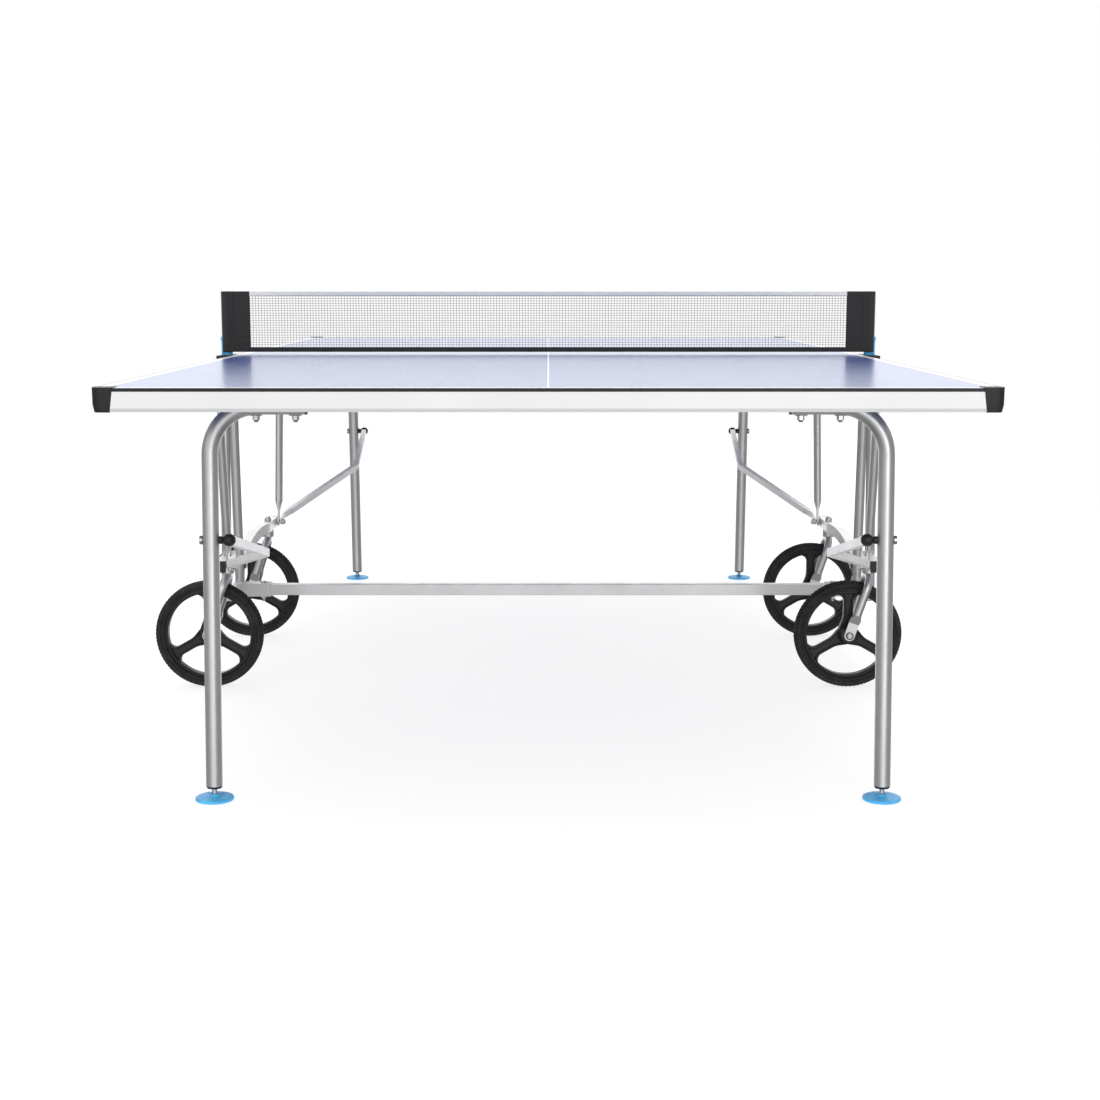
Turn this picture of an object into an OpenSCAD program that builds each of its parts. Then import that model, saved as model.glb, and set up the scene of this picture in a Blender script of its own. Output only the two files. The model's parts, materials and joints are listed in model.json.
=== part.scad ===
// Folding table tennis table on casters, modelled open for play.
// Origin on the floor under the middle of the net. X runs across the table, Y along it, Z up.
// The near half lies at negative Y, the far half at positive Y, and each folds up about its own pivots.

/* [Table top] */
// Length of the whole playing surface, both halves
top_length = 2740; // [2700:5:2760]
// Width of the playing surface
top_width = 1525; // [1515:5:1530]
// Height of the playing surface above the floor
top_height = 760; // [755:1:765]
// Thickness of the playing panel
panel_t = 6; // [4:1:8]
// Gap between the two halves under the net
half_gap = 6; // [4:1:8]
// Height of the white apron together with the panel edge
apron_h = 40; // [36:1:44]
// Depth of the apron profile, from its outer face
apron_d = 16; // [12:1:20]
// Wall of the apron profile
apron_wall = 1.6; // [1.2:0.2:2]
// Width of the black edging round the panel
edging_w = 3; // [2:0.5:4]
// Side of a black corner cap at its top
cap_side = 36; // [30:1:38]
// How much shorter the cap's side is at its foot
cap_taper = 5; // [0:1:6]
// Width of an under-table rail
rail_w = 30; // [24:2:36]
// Height of an under-table rail
rail_h = 22; // [20:1:22]

/* [Net] */
// Height of the net above the playing surface
net_height = 152.5; // [150:0.5:155]
// Height of the net's lower edge above the playing surface
net_clear = 6; // [5:1:8]
// Height of the white top tape
tape_h = 11; // [9:1:14]
// Height of the black bottom band
band_h = 11; // [9:1:14]
// Width of a fabric end sleeve, from the mesh to its outer side
sleeve_w = 71; // [68:1:76]
// Diameter of a net post
net_post_od = 24; // [20:1:24]

/* [Side frames] */
// Distance of the frame posts from the middle of the table
post_x = 784; // [783:0.5:786]
// Outer diameter of a frame post
post_od = 24; // [24:1:25]
// Wall of the frame post
post_wall = 2; // [1.5:0.5:2]
// Lean of a frame post towards the net, in degrees
post_lean = 4.25; // [4:0.05:4.5]
// Side of the crossbar's square tube
crossbar_side = 27; // [25:1:28]
// Height of the crossbar's centre line
crossbar_z = 178; // [176:1:180]
// Side of a caster arm's square tube
arm_side = 25; // [24:1:26]
// Height of the caster arm's level part
arm_z = 297; // [295:1:299]
// Distance of an arm's capped end from the net
arm_end = 385; // [383:1:388]

/* [Legs] */
// Distance of a leg from the middle of the table
leg_x = 609; // [606:1:611]
// Outer diameter of a leg tube
leg_od = 30; // [28:1:30]
// Wall of a leg tube
leg_wall = 2; // [1.5:0.5:2.5]
// Radius of the leg's elbow at the centre line
leg_bend = 87; // [80:1:90]
// Splay of a leg away from the net, in degrees
leg_splay = 4.5; // [4:0.1:5]
// Distance of the leg hinge from the net
leg_hinge_d = 1146; // [1140:1:1150]
// Height of the leg hinge
leg_hinge_z = 714; // [713:1:714]
// Diameter of a foot disc
foot_od = 70; // [60:2:76]

/* [Casters] */
// Distance of a caster stem from the middle of the table
caster_x = 743; // [742:1:744]
// Distance of a caster stem from the net
caster_d = 294; // [292:1:296]
// Trail of a caster wheel
caster_trail = 45.5; // [42:0.5:47]
// Outer diameter of a wheel
wheel_od = 250; // [246:1:250]
// Width of a tyre
tyre_w = 38; // [34:1:40]

/* [Hidden] */
$fn = 64;
eps = 0.05;
big = 400;
half_len = top_length / 2;
half_w = top_width / 2;
inner_d = half_gap / 2;
panel_z = top_height - panel_t;
apron_z = top_height - apron_h;

// The pivots of one half, as distance from the net and height
fold_d = 49;
fold_z = 719;
fold_pin_r = 5;
link_top_d = 444;
link_top_z = 690;
corner_pivot_d = 371;
corner_pivot_z = arm_z;
strut_top_drop = 240;
strut_top_d = leg_hinge_d + strut_top_drop * tan(leg_splay);
strut_top_z = leg_hinge_z - strut_top_drop;
leg_end_z = 26;
plug_rim = 4;
foot_d = leg_hinge_d + (leg_hinge_z - leg_end_z + plug_rim) * tan(leg_splay);
running = 0.06;

// The base of a side frame and its bracket at the top
base_top = 184;
base_bottom = 158;
base_w = 24;
post_top = 744;
bracket_h = 15;
bracket_w = 32;
bracket_len = 120;
net_post_in = 8;
net_bracket_z = post_top + bracket_h;
socket_side = 33;
socket_in = 690;
hinge_plate_t = 4;
hinge_plate_x = half_w;
plate_back = 22;
plate_reach = 60;
plate_up = 26;
boss_r = 12;

// Pieces on the corner pivot bolt, from the caster arm inwards
link_x = 726;
strut_eye_x = 719;
eye_t = 4;
ear_x = link_x + eye_t / 2 + 1;
bolt_r = 4;
stud_r = 5;
stud_top = 60;
stud_hole_z = 10;
plug_in = 25;
link_od = 20;
link_flat_low = 56;
link_flat_high = 80;
link_press = 25;
eye_r = 11;
strut_h = 16;
strut_t = 14;
strut_knee_x = 566;
strut_knee_d = 826;
strut_top_x = 576;
strut_angle = atan2(strut_top_z - corner_pivot_z, strut_top_d - corner_pivot_d);
strut_len = (strut_top_d - corner_pivot_d) / cos(strut_angle);
strut_knee = (strut_knee_d - corner_pivot_d) / cos(strut_angle);
knob_r = 11;

// The leg hinge's saddles
saddle_x = [454, 525];
saddle_w = 22;
saddle_r = leg_od / 2 + 2.4;
saddle_plate_t = 3;
saddle_plate_y = 27;
saddle_plate_end = 13;
leg_tube_in = 436;
rail_x = 489.5;
cap_round = 14;
rail_z = panel_z - rail_h;

// The caster
wheel_z = wheel_od / 2;
hub_r = 19;
hub_w = 52;
axle_r = 5;
axle_head = 4;
tyre_in = 103;
rim_w = 24;
fork_r = 9.5;
fork_y = 34;
fork_apex_z = 262;
fork_plate_t = 4;
fork_plate_y = 28.5;
fork_flat = 52;
fork_flat_w = 24;
fork_press = 22;
stem_r = 6;

// ---- Helpers ----

// The given shape and its mirror image across the table
module both_sides() {
    children();
    mirror([1, 0, 0]) children();
}

// A shape made for the far half, put on the near half (-1) or the far half (1)
module on_half(h) {
    mirror([0, h < 0 ? 1 : 0, 0]) children();
}

module both_halves() {
    on_half(1) children();
    on_half(-1) children();
}

// A cylinder along X from x0 to x1, centred at distance d and height z
module rod_x(x0, x1, d, z, r) {
    translate([x0, d, z]) rotate([0, 90, 0]) cylinder(h = x1 - x0, r = r);
}

// A box from its lowest to its highest corner
module box(lo, hi) {
    translate(lo) cube([hi[0] - lo[0], hi[1] - lo[1], hi[2] - lo[2]]);
}

module tube(h, r, wall) {
    difference() {
        cylinder(h = h, r = r);
        translate([0, 0, -1]) cylinder(h = h + 2, r = r - wall);
    }
}

// A hexagon nut or bolt head along X, of this width across flats
module hex_x(x0, x1, d, z, flats) {
    translate([x0, d, z]) rotate([0, 90, 0]) cylinder(h = x1 - x0, r = flats / sqrt(3), $fn = 6);
}

// Moves the post's own frame, with Z along the post, to the fold pivot
module at_post() {
    translate([post_x, fold_d, fold_z]) rotate([post_lean, 0, 0]) children();
}

module square_profile(side, wall) {
    difference() {
        square(side, center = true);
        square(side - 2 * wall, center = true);
    }
}

// ---- Side frames and crossbar ----

module crossbar() {
    color("silver")
    rotate([90, 0, 90])
    translate([0, crossbar_z, 1 - post_x + base_w / 2])
    linear_extrude(2 * (post_x - base_w / 2 - 1))
    square_profile(crossbar_side, 2);
}

module side_bases() {
    color("silver")
    both_sides() union() {
        translate([post_x - base_w / 2, 0, 0])
        rotate([90, 0, 90])
        linear_extrude(base_w)
        polygon([
            [-104, base_top], [-104, base_top - 10], [-60, base_bottom],
            [60, base_bottom], [104, base_top - 10], [104, base_top]
        ]);
        difference() {
            box(
                [socket_in, -socket_side / 2, crossbar_z - socket_side / 2],
                [post_x - base_w / 2, socket_side / 2, crossbar_z + socket_side / 2]
            );
            box(
                [socket_in - 1, -crossbar_side / 2 - eps, crossbar_z - crossbar_side / 2 - eps],
                [
                    post_x - base_w / 2 - 0.5,
                    crossbar_side / 2 + eps,
                    crossbar_z + crossbar_side / 2 + eps
                ]
            );
        }
    }
}

// The post's slot faces the table, and the slider's pin runs in it
module post() {
    difference() {
        at_post() translate([0, 0, -570]) tube(640, post_od / 2, post_wall);
        at_post() translate([-post_od, -fold_pin_r - 0.2, -525]) cube([post_od, 2 * fold_pin_r + 0.4, 536]);
        box([post_x - big, -big, 0], [post_x + big, big, base_top]);
        box([post_x - big, -big, post_top], [post_x + big, big, post_top + big]);
    }
}

module posts() {
    color("silver") both_sides() both_halves() post();
}

// The arm runs level over the caster, turns outwards and curves down to its post
arm_turn_r = 100;
arm_turn_d = 265;
arm_drop_r = 190;
arm_yaw = 14.15;

module caster_arm() {
    turn_end_d = arm_turn_d - arm_turn_r * sin(arm_yaw);
    turn_end_x = caster_x + arm_turn_r * (1 - cos(arm_yaw));
    difference() {
        union() {
            translate([caster_x, arm_turn_d, arm_z])
            rotate([-90, 0, 0])
            linear_extrude(arm_end - arm_turn_d)
            square_profile(arm_side, 2);
            translate([caster_x + arm_turn_r, arm_turn_d, arm_z])
            rotate([0, 0, 180])
            rotate_extrude(angle = arm_yaw)
            translate([arm_turn_r, 0])
            square_profile(arm_side, 2);
            translate([turn_end_x, turn_end_d, arm_z - arm_drop_r])
            rotate([0, 0, arm_yaw - 90])
            rotate([90, 0, 0])
            rotate([0, 0, 32])
            rotate_extrude(angle = 58)
            translate([arm_drop_r, 0])
            square_profile(arm_side, 2);
        }
        // Cut to the outside of the post, where the arm is welded on
        at_post() translate([0, 0, -600]) {
            cylinder(h = 680, r = post_od / 2 + eps);
            translate([-60, -120, 0]) cube([120, 120, 680]);
        }
        box([post_x - 40, 0, 100], [post_x - post_od / 2 + 1, 100, 300]);
        translate([caster_x, caster_d, arm_z - 20]) cylinder(h = 40, r = stem_r + running);
        rod_x(caster_x - 20, caster_x + 20, corner_pivot_d, corner_pivot_z, bolt_r + eps);
    }
}

module caster_arms() {
    color("silver") both_sides() both_halves() caster_arm();
}

module arm_caps() {
    cap = arm_side + 1;
    color("#303030")
    both_sides() both_halves() union() {
        box(
            [caster_x - cap / 2, arm_end, arm_z - cap / 2],
            [caster_x + cap / 2, arm_end + 3, arm_z + cap / 2]
        );
        translate([caster_x, arm_end - 8, arm_z])
        rotate([-90, 0, 0])
        linear_extrude(8)
        square(arm_side - 4 - 2 * eps, center = true);
    }
}

// The corner pivot bolts, with head, washer and nut, and the bolts that hold the crossbar
module corner_bolt() {
    rod_x(strut_eye_x - 12, caster_x + arm_side / 2, corner_pivot_d, corner_pivot_z, bolt_r);
    hex_x(caster_x + arm_side / 2, caster_x + arm_side / 2 + 5, corner_pivot_d, corner_pivot_z, 13);
    hex_x(strut_eye_x - 10, strut_eye_x - eye_t / 2 - 0.3, corner_pivot_d, corner_pivot_z, 13);
}

module crossbar_bolt() {
    nut_h = 6;
    thread_h = 8;
    translate([socket_in + 20, 0, crossbar_z]) {
        translate([0, 0, -socket_side / 2 - nut_h]) cylinder(h = nut_h, r = 6.5, $fn = 6);
        translate([0, 0, -socket_side / 2 - nut_h - thread_h]) cylinder(h = thread_h, r = 3);
        translate([0, 0, socket_side / 2]) cylinder(h = 4, r = 7);
    }
}

module frame_fasteners() {
    color("gainsboro")
    both_sides() {
        both_halves() corner_bolt();
        crossbar_bolt();
    }
}

// ---- Net ----

module net_brackets() {
    color("#202020")
    both_sides() difference() {
        union() {
            box(
                [post_x - bracket_w / 2, -bracket_len / 2, post_top],
                [post_x + bracket_w / 2, bracket_len / 2, net_bracket_z]
            );
            translate([post_x, 0, post_top - 14]) cylinder(h = 14, r = net_post_od / 2 + 3);
        }
        translate([post_x, 0, post_top - net_post_in]) cylinder(h = big, r = net_post_od / 2 + eps);
    }
}

module net_posts() {
    color("silver")
    both_sides()
    translate([post_x, 0, post_top - net_post_in])
    tube(top_height + net_height - 2 - post_top + net_post_in, net_post_od / 2, 1.5);
}

collar_r = net_post_od / 2 + 1.5;
collar_top_r = collar_r + 1.5;

module net_collars() {
    color("#2f86d0")
    both_sides()
    translate([post_x, 0, net_bracket_z])
    difference() {
        union() {
            cylinder(h = 31, r = collar_r);
            translate([0, 0, 31]) cylinder(h = 4, r1 = collar_r, r2 = collar_top_r);
            translate([0, 0, 35]) cylinder(h = 9, r = collar_top_r);
        }
        translate([0, 0, -1]) cylinder(h = 60, r = net_post_od / 2 + eps);
    }
}

net_z0 = top_height + net_clear;
net_z1 = top_height + net_height;
sleeve_r = net_post_od / 2 + 1.4;
sleeve_x0 = post_x + sleeve_r - sleeve_w;

module net_band() {
    color("#202020") box([-sleeve_x0, -0.8, net_z0], [sleeve_x0, 0.8, net_z0 + band_h]);
}

module net_mesh() {
    color("dimgray", 0.5)
    box(
        [-sleeve_x0, -0.4, net_z0 + band_h],
        [sleeve_x0, 0.4, net_z1 - tape_h]
    );
}

module net_tape() {
    color("white") box([-sleeve_x0, -1.5, net_z1 - tape_h], [sleeve_x0, 1.5, net_z1]);
}

// The sleeve is a flat panel that opens into a tube round the net post, above the collar
module net_sleeve() {
    tube_z = net_bracket_z + 44.5;
    flat_x = post_x - collar_top_r - 0.5;
    difference() {
        union() {
            box([sleeve_x0, -2, net_z0], [flat_x, 2, net_z1]);
            box([flat_x - 0.5, -2, tube_z], [post_x - 4, 2, net_z1]);
            translate([post_x, 0, tube_z]) cylinder(h = net_z1 - tube_z, r = sleeve_r);
        }
        translate([post_x, 0, net_bracket_z]) cylinder(h = big, r = net_post_od / 2 + 2 * eps);
    }
}

module net_sleeves() {
    color("#262628") both_sides() net_sleeve();
}

// ---- One half of the top, drawn on the far side ----

module corner_notch(z0, z1, side) {
    both_sides()
    box([half_w - side, half_len - side, z0], [half_w + big, half_len + big, z1]);
}

module panel() {
    color("#2c3e7a")
    difference() {
        box(
            [-half_w + edging_w, inner_d + edging_w, panel_z],
            [half_w - edging_w, half_len - edging_w, top_height]
        );
        corner_notch(panel_z - 1, top_height + 1, cap_side);
    }
}

module edging() {
    color("#3a3a3c")
    difference() {
        box([-half_w, inner_d, panel_z], [half_w, half_len, top_height]);
        box(
            [-half_w + edging_w, inner_d + edging_w, panel_z - 1],
            [half_w - edging_w, half_len - edging_w, top_height + 1]
        );
        corner_notch(panel_z - 1, top_height + 1, cap_side);
    }
}

// A channel along X from x0 to x1 with its web at y 0 and its flanges towards negative Y.
// An end that meets a corner cap slants outwards towards its foot by this much.
module channel(x0, x1, slant0, slant1) {
    difference() {
        rotate([90, 0, 0])
        linear_extrude(apron_d)
        polygon([[x0 - slant0, apron_z], [x1 + slant1, apron_z], [x1, panel_z], [x0, panel_z]]);
        box(
            [x0 - cap_side, -apron_d - 1, apron_z + apron_wall],
            [x1 + cap_side, -apron_wall, panel_z - apron_wall]
        );
    }
}

// How far a corner cap reaches from the table's edge at height z
function cap_reach(z) = cap_side - cap_taper * (top_height - z) / apron_h;

module apron() {
    slant = cap_reach(panel_z) - cap_reach(apron_z);
    end_x = half_w - cap_reach(panel_z) - eps;
    side_x = end_x - half_w + half_len;
    color("whitesmoke") {
        translate([0, half_len, 0]) channel(-end_x, end_x, slant, slant);
        translate([0, inner_d, 0])
        mirror([0, 1, 0])
        channel(-half_w + apron_d + eps, half_w - apron_d - eps, 0, 0);
        both_sides()
        translate([half_w, 0, 0])
        rotate([0, 0, -90])
        channel(-side_x, -inner_d, slant, 0);
    }
}

// A flat outline of the corner cap, this thick, with its outer faces at this inset
module cap_slice(z, reach, inset) {
    side = reach - inset;
    translate([half_w - reach, half_len - reach, z]) {
        cube([side - cap_round, side, 1]);
        cube([side, side - cap_round, 1]);
        translate([side - cap_round, side - cap_round, 0]) cylinder(h = 1, r = cap_round, $fn = 32);
    }
}

// A hollow corner block with a round outer edge that draws in towards its foot
module corner_cap() {
    foot_z = apron_z - 1;
    wall = 6;
    difference() {
        hull() {
            cap_slice(top_height, cap_side, -0.5);
            cap_slice(apron_z + 12, cap_reach(apron_z + 12), -0.3);
            cap_slice(foot_z, cap_reach(foot_z), 2);
        }
        box(
            [half_w - cap_side - 1, half_len - cap_side - 1, foot_z - 1],
            [half_w - wall, half_len - wall, panel_z - 4]
        );
    }
}

module corner_caps() {
    color("#303032")
    both_sides() corner_cap();
}

// Two long rails and two cross rails of thin rectangular tube, under the panel
module rails() {
    y0 = inner_d + apron_d;
    y1 = half_len - apron_d;
    cross_x = rail_x - rail_w / 2 - eps;
    wall = 1.5;
    color("lightgray") {
        both_sides()
        difference() {
            box([rail_x - rail_w / 2, y0, rail_z], [rail_x + rail_w / 2, y1, panel_z]);
            box(
                [rail_x - rail_w / 2 + wall, y0 - 1, rail_z + wall],
                [rail_x + rail_w / 2 - wall, y1 + 1, panel_z - wall]
            );
        }
        for (y = [200, 900])
            difference() {
                box([-cross_x, y, rail_z], [cross_x, y + rail_w, panel_z]);
                box(
                    [-cross_x - 1, y + wall, rail_z + wall],
                    [cross_x + 1, y + rail_w - wall, panel_z - wall]
                );
            }
    }
}

// The plate that carries the fold pivot, outside the apron
module fold_plate() {
    difference() {
        union() {
            box(
                [hinge_plate_x, fold_d - plate_back, fold_z - 4],
                [hinge_plate_x + hinge_plate_t, fold_d + plate_reach, fold_z + plate_up]
            );
            rod_x(hinge_plate_x, hinge_plate_x + hinge_plate_t, fold_d, fold_z, boss_r);
        }
        rod_x(hinge_plate_x - 1, hinge_plate_x + hinge_plate_t + 1, fold_d, fold_z, fold_pin_r + running);
    }
}

// The ear that the link pushes on, hung from the panel beside the link
module link_ear() {
    difference() {
        union() {
            box([ear_x, link_top_d - 20, link_top_z], [ear_x + 3, link_top_d + 20, panel_z]);
            box([ear_x, link_top_d - 20, panel_z - 3], [half_w - apron_d, link_top_d + 20, panel_z]);
            rod_x(ear_x, ear_x + 3, link_top_d, link_top_z, boss_r);
        }
        rod_x(ear_x - 1, ear_x + 5, link_top_d, link_top_z, 3);
    }
}

module half_brackets() {
    color("silver")
    both_sides() {
        fold_plate();
        link_ear();
    }
}

// Straps in which the level part of the leg turns, welded to a plate under the rail
module leg_saddles() {
    color("silver")
    both_sides()
    difference() {
        union() {
            box(
                [saddle_x[0] - saddle_plate_end, leg_hinge_d - saddle_plate_y, rail_z - saddle_plate_t],
                [saddle_x[1] + saddle_plate_end, leg_hinge_d + saddle_plate_y, rail_z]
            );
            for (x = saddle_x)
                rod_x(x - saddle_w / 2, x + saddle_w / 2, leg_hinge_d, leg_hinge_z, saddle_r);
        }
        rod_x(leg_tube_in - 20, saddle_x[1] + 60, leg_hinge_d, leg_hinge_z, leg_od / 2 + running);
        // Room for the start of the leg's bend
        rod_x(leg_x - leg_bend - 1, saddle_x[1] + 60, leg_hinge_d, leg_hinge_z, leg_od / 2 + 1.4);
    }
}

// Cap nuts under the straps, plate screws and the bolts in the link ears
module half_fasteners() {
    color("gainsboro")
    both_sides() {
        for (x = saddle_x)
            translate([x, leg_hinge_d, leg_hinge_z - saddle_r]) {
                difference() {
                    translate([0, 0, -7]) cylinder(h = 7 + 2, r = 6.5, $fn = 6);
                    rotate([0, 90, 0])
                    translate([-saddle_r, 0, -20])
                    cylinder(h = 40, r = saddle_r + eps);
                }
                translate([0, 0, -11]) cylinder(h = 4, r1 = 3, r2 = 5.5);
            }
        for (dy = [2 - plate_back, plate_reach - 6])
            rod_x(
                hinge_plate_x + hinge_plate_t, hinge_plate_x + hinge_plate_t + 2.4,
                fold_d + dy, fold_z + plate_up - 9, 4
            );
        rod_x(ear_x + 3, ear_x + 7, link_top_d, link_top_z, 7);
    }
}

// The block inside each post, with the pin that carries the half
module sliders() {
    color("#303030")
    both_sides() union() {
        at_post() translate([0, 0, -20])
        cylinder(h = 40, r = post_od / 2 - post_wall - running);
        rod_x(hinge_plate_x + 0.5, post_x, fold_d, fold_z, fold_pin_r);
    }
}

// ---- Legs ----

// Moves the leg's own frame, with Z up the leg, to the leg hinge
module at_leg_hinge() {
    translate([0, leg_hinge_d, leg_hinge_z]) rotate([leg_splay, 0, 0]) children();
}

leg_len = (leg_hinge_z - leg_end_z) / cos(leg_splay);

module leg_tube() {
    inner = leg_od / 2 - leg_wall;
    difference() {
        at_leg_hinge() {
            translate([leg_tube_in, 0, 0])
            rotate([0, 90, 0])
            tube(leg_x - leg_bend - leg_tube_in, leg_od / 2, leg_wall);
            translate([leg_x - leg_bend, 0, -leg_bend])
            rotate([90, 0, 0])
            rotate_extrude(angle = 90)
            translate([leg_bend, 0])
            difference() {
                circle(r = leg_od / 2);
                circle(r = inner);
            }
            translate([leg_x, 0, -leg_len]) tube(leg_len - leg_bend, leg_od / 2, leg_wall);
        }
        rod_x(leg_x - 30, leg_x + 30, strut_top_d, strut_top_z, bolt_r + eps);
    }
}

module leg_tubes() {
    color("silver")
    both_sides() leg_tube();
}

module leg_plug() {
    // End plug with the vertical hole for the stud
    difference() {
        at_leg_hinge() {
            translate([leg_x, 0, -leg_len - plug_rim])
            cylinder(h = plug_rim, r1 = leg_od / 2 - 2, r2 = leg_od / 2);
            translate([leg_x, 0, -leg_len]) cylinder(h = plug_in, r = leg_od / 2 - leg_wall - eps);
            translate([leg_tube_in - 3, 0, 0]) rotate([0, 90, 0]) cylinder(h = 3, r = leg_od / 2);
        }
        translate([leg_x, foot_d, stud_hole_z]) cylinder(h = stud_top, r = stud_r + eps);
    }
    // Spacer between the leg and the strut's knob
    difference() {
        rod_x(strut_top_x + knob_r + 0.5, leg_x, strut_top_d, strut_top_z, 7);
        at_leg_hinge() translate([leg_x, 0, -leg_len]) cylinder(h = leg_len, r = leg_od / 2 + eps);
    }
}

module leg_plugs() {
    color("#303030")
    both_sides() leg_plug();
}

// The strut's bolt through the leg, with its head
module strut_bolts() {
    color("gainsboro")
    both_sides() union() {
        rod_x(leg_x - leg_od / 2 + 3, leg_x + leg_od / 2, strut_top_d, strut_top_z, bolt_r);
        rod_x(leg_x + leg_od / 2, leg_x + leg_od / 2 + 5, strut_top_d, strut_top_z, 8);
    }
}

// A foot disc with its low hub and the threaded stud moulded into it
module foot(side) {
    disc_h = 6;
    color("#3c96ea")
    translate([side * leg_x, foot_d, 0]) {
        cylinder(h = disc_h, r = foot_od / 2);
        translate([0, 0, disc_h]) cylinder(h = 1.5, r1 = foot_od / 2, r2 = foot_od / 2 - 7);
        translate([0, 0, disc_h]) cylinder(h = 6, r1 = 10.5, r2 = 8);
        translate([0, 0, disc_h]) cylinder(h = stud_top - disc_h, r = stud_r);
    }
}

// ---- Struts and links ----

// Moves the strut's own frame, with Y along the strut, to the corner pivot
module at_strut() {
    translate([0, corner_pivot_d, corner_pivot_z]) rotate([strut_angle, 0, 0]) children();
}

// The strut's plan: a band of this half width along start, knee and finish, with a mitred knee
module strut_band(start, knee, finish, half_t) {
    run_a = (knee - start) / norm(knee - start);
    run_b = (finish - knee) / norm(finish - knee);
    side_a = [run_a[1], -run_a[0]];
    side_b = [run_b[1], -run_b[0]];
    mitre = (side_a + side_b) / (1 + side_a * side_b);
    polygon([
        start + side_a * half_t, knee + mitre * half_t, finish + side_b * half_t,
        finish - side_b * half_t, knee - mitre * half_t, start - side_a * half_t
    ]);
}

// The strut is a thin rectangular tube with a knee in plan, pressed flat at the corner pivot
module strut_tube() {
    wall = 1.5;
    neck = [strut_eye_x - 12, 84];
    knee = [strut_knee_x, strut_knee];
    end = [strut_top_x, strut_len - knob_r + 2];
    heading = (knee - neck) / norm(knee - neck);
    difference() {
        at_strut()
        difference() {
            union() {
                translate([0, 0, -strut_h / 2])
                linear_extrude(strut_h)
                strut_band(neck, knee, end, strut_t / 2);
                hull() {
                    translate([strut_eye_x - eye_t / 2, 48, -strut_h / 2]) cube([eye_t, 1, strut_h]);
                    translate([neck[0] - strut_t / 2 + 1, neck[1], -strut_h / 2])
                    cube([strut_t - 2, 6, strut_h]);
                }
                translate([strut_eye_x - eye_t / 2, 0, -strut_h / 2]) cube([eye_t, 48.5, strut_h]);
                translate([strut_eye_x - eye_t / 2, 0, 0])
                rotate([0, 90, 0])
                cylinder(h = eye_t, r = strut_h / 2);
            }
            translate([0, 0, wall - strut_h / 2])
            linear_extrude(strut_h - 2 * wall)
            strut_band(neck + 14 * heading, knee, end + [0, 10], strut_t / 2 - wall);
            // Room for the knob at the strut's end
            translate([strut_top_x - 20, strut_len, 0])
            rotate([0, 90, 0])
            cylinder(h = 40, r = knob_r + eps);
        }
        rod_x(strut_eye_x - 5, strut_eye_x + 5, corner_pivot_d, corner_pivot_z, bolt_r + running);
    }
}

module strut_tubes() {
    color("silver")
    both_sides() strut_tube();
}

// A turned knob with chamfered shoulders on the strut's end
module strut_knobs() {
    color("#303030")
    both_sides()
    translate([strut_top_x, strut_top_d, strut_top_z])
    rotate([0, 90, 0])
    rotate_extrude()
    polygon([
        [0, -knob_r], [4.5, -knob_r], [8.5, 3 - knob_r], [knob_r, 6.5 - knob_r],
        [knob_r, knob_r - 6.5], [8.5, knob_r - 3], [4.5, knob_r], [0, knob_r]
    ]);
}

// A pressed end of the link, from its eye at the origin up to the round tube
module link_end(flat) {
    translate([-eye_t / 2, 0, 0]) rotate([0, 90, 0]) cylinder(h = eye_t, r = eye_r);
    translate([-eye_t / 2, -eye_r, 0]) cube([eye_t, 2 * eye_r, flat - link_press]);
    hull() {
        translate([-eye_t / 2, -eye_r, flat - link_press - 0.5]) cube([eye_t, 2 * eye_r, 1]);
        translate([0, 0, flat]) cylinder(h = 1, r = link_od / 2, $fn = 32);
    }
}

module link() {
    angle = atan2(link_top_z - corner_pivot_z, link_top_d - corner_pivot_d);
    length = norm([link_top_z - corner_pivot_z, link_top_d - corner_pivot_d]);
    difference() {
        translate([link_x, corner_pivot_d, corner_pivot_z])
        rotate([angle - 90, 0, 0])
        union() {
            translate([0, 0, link_flat_low]) tube(length - link_flat_low - link_flat_high, link_od / 2, 1.5);
            link_end(link_flat_low);
            translate([0, 0, length]) mirror([0, 0, 1]) link_end(link_flat_high);
        }
        rod_x(link_x - 5, link_x + 5, corner_pivot_d, corner_pivot_z, bolt_r + running);
    }
}

module links() {
    color("silver")
    both_sides() link();
}

// ---- Casters ----

// Moves a caster's own frame, with the stem on the Z axis, to its place
module at_caster(side, h) {
    translate([side * caster_x, h * caster_d, 0]) children();
}

// One side of the fork, up from the axle: its tube is pressed to a flat plate at the lower end
module fork_blade(length) {
    plate_in = fork_plate_y - fork_plate_t / 2;
    flat_h = fork_flat - fork_press;
    translate([0, fork_y, fork_flat]) cylinder(h = length - fork_flat, r = fork_r);
    // A core that joins the press, the tube and the bend
    translate([0, fork_y, fork_flat - 8]) cylinder(h = length - fork_flat + 16, r = 4);
    intersection() {
        translate([0, fork_y, flat_h]) cylinder(h = fork_press, r1 = fork_flat_w / 2 + 3, r2 = fork_r);
        translate([-fork_flat_w / 2, 0, 0])
        rotate([90, 0, 90])
        linear_extrude(fork_flat_w)
        polygon([
            [plate_in, flat_h], [plate_in + fork_plate_t, flat_h],
            [fork_y + fork_r + 2 * eps, fork_flat], [fork_y - fork_r - 2 * eps, fork_flat]
        ]);
    }
    translate([-fork_flat_w / 2, plate_in, 0]) cube([fork_flat_w, fork_plate_t, flat_h]);
    translate([0, plate_in, 0]) rotate([-90, 0, 0]) cylinder(h = fork_plate_t, r = fork_flat_w / 2);
}

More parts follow.
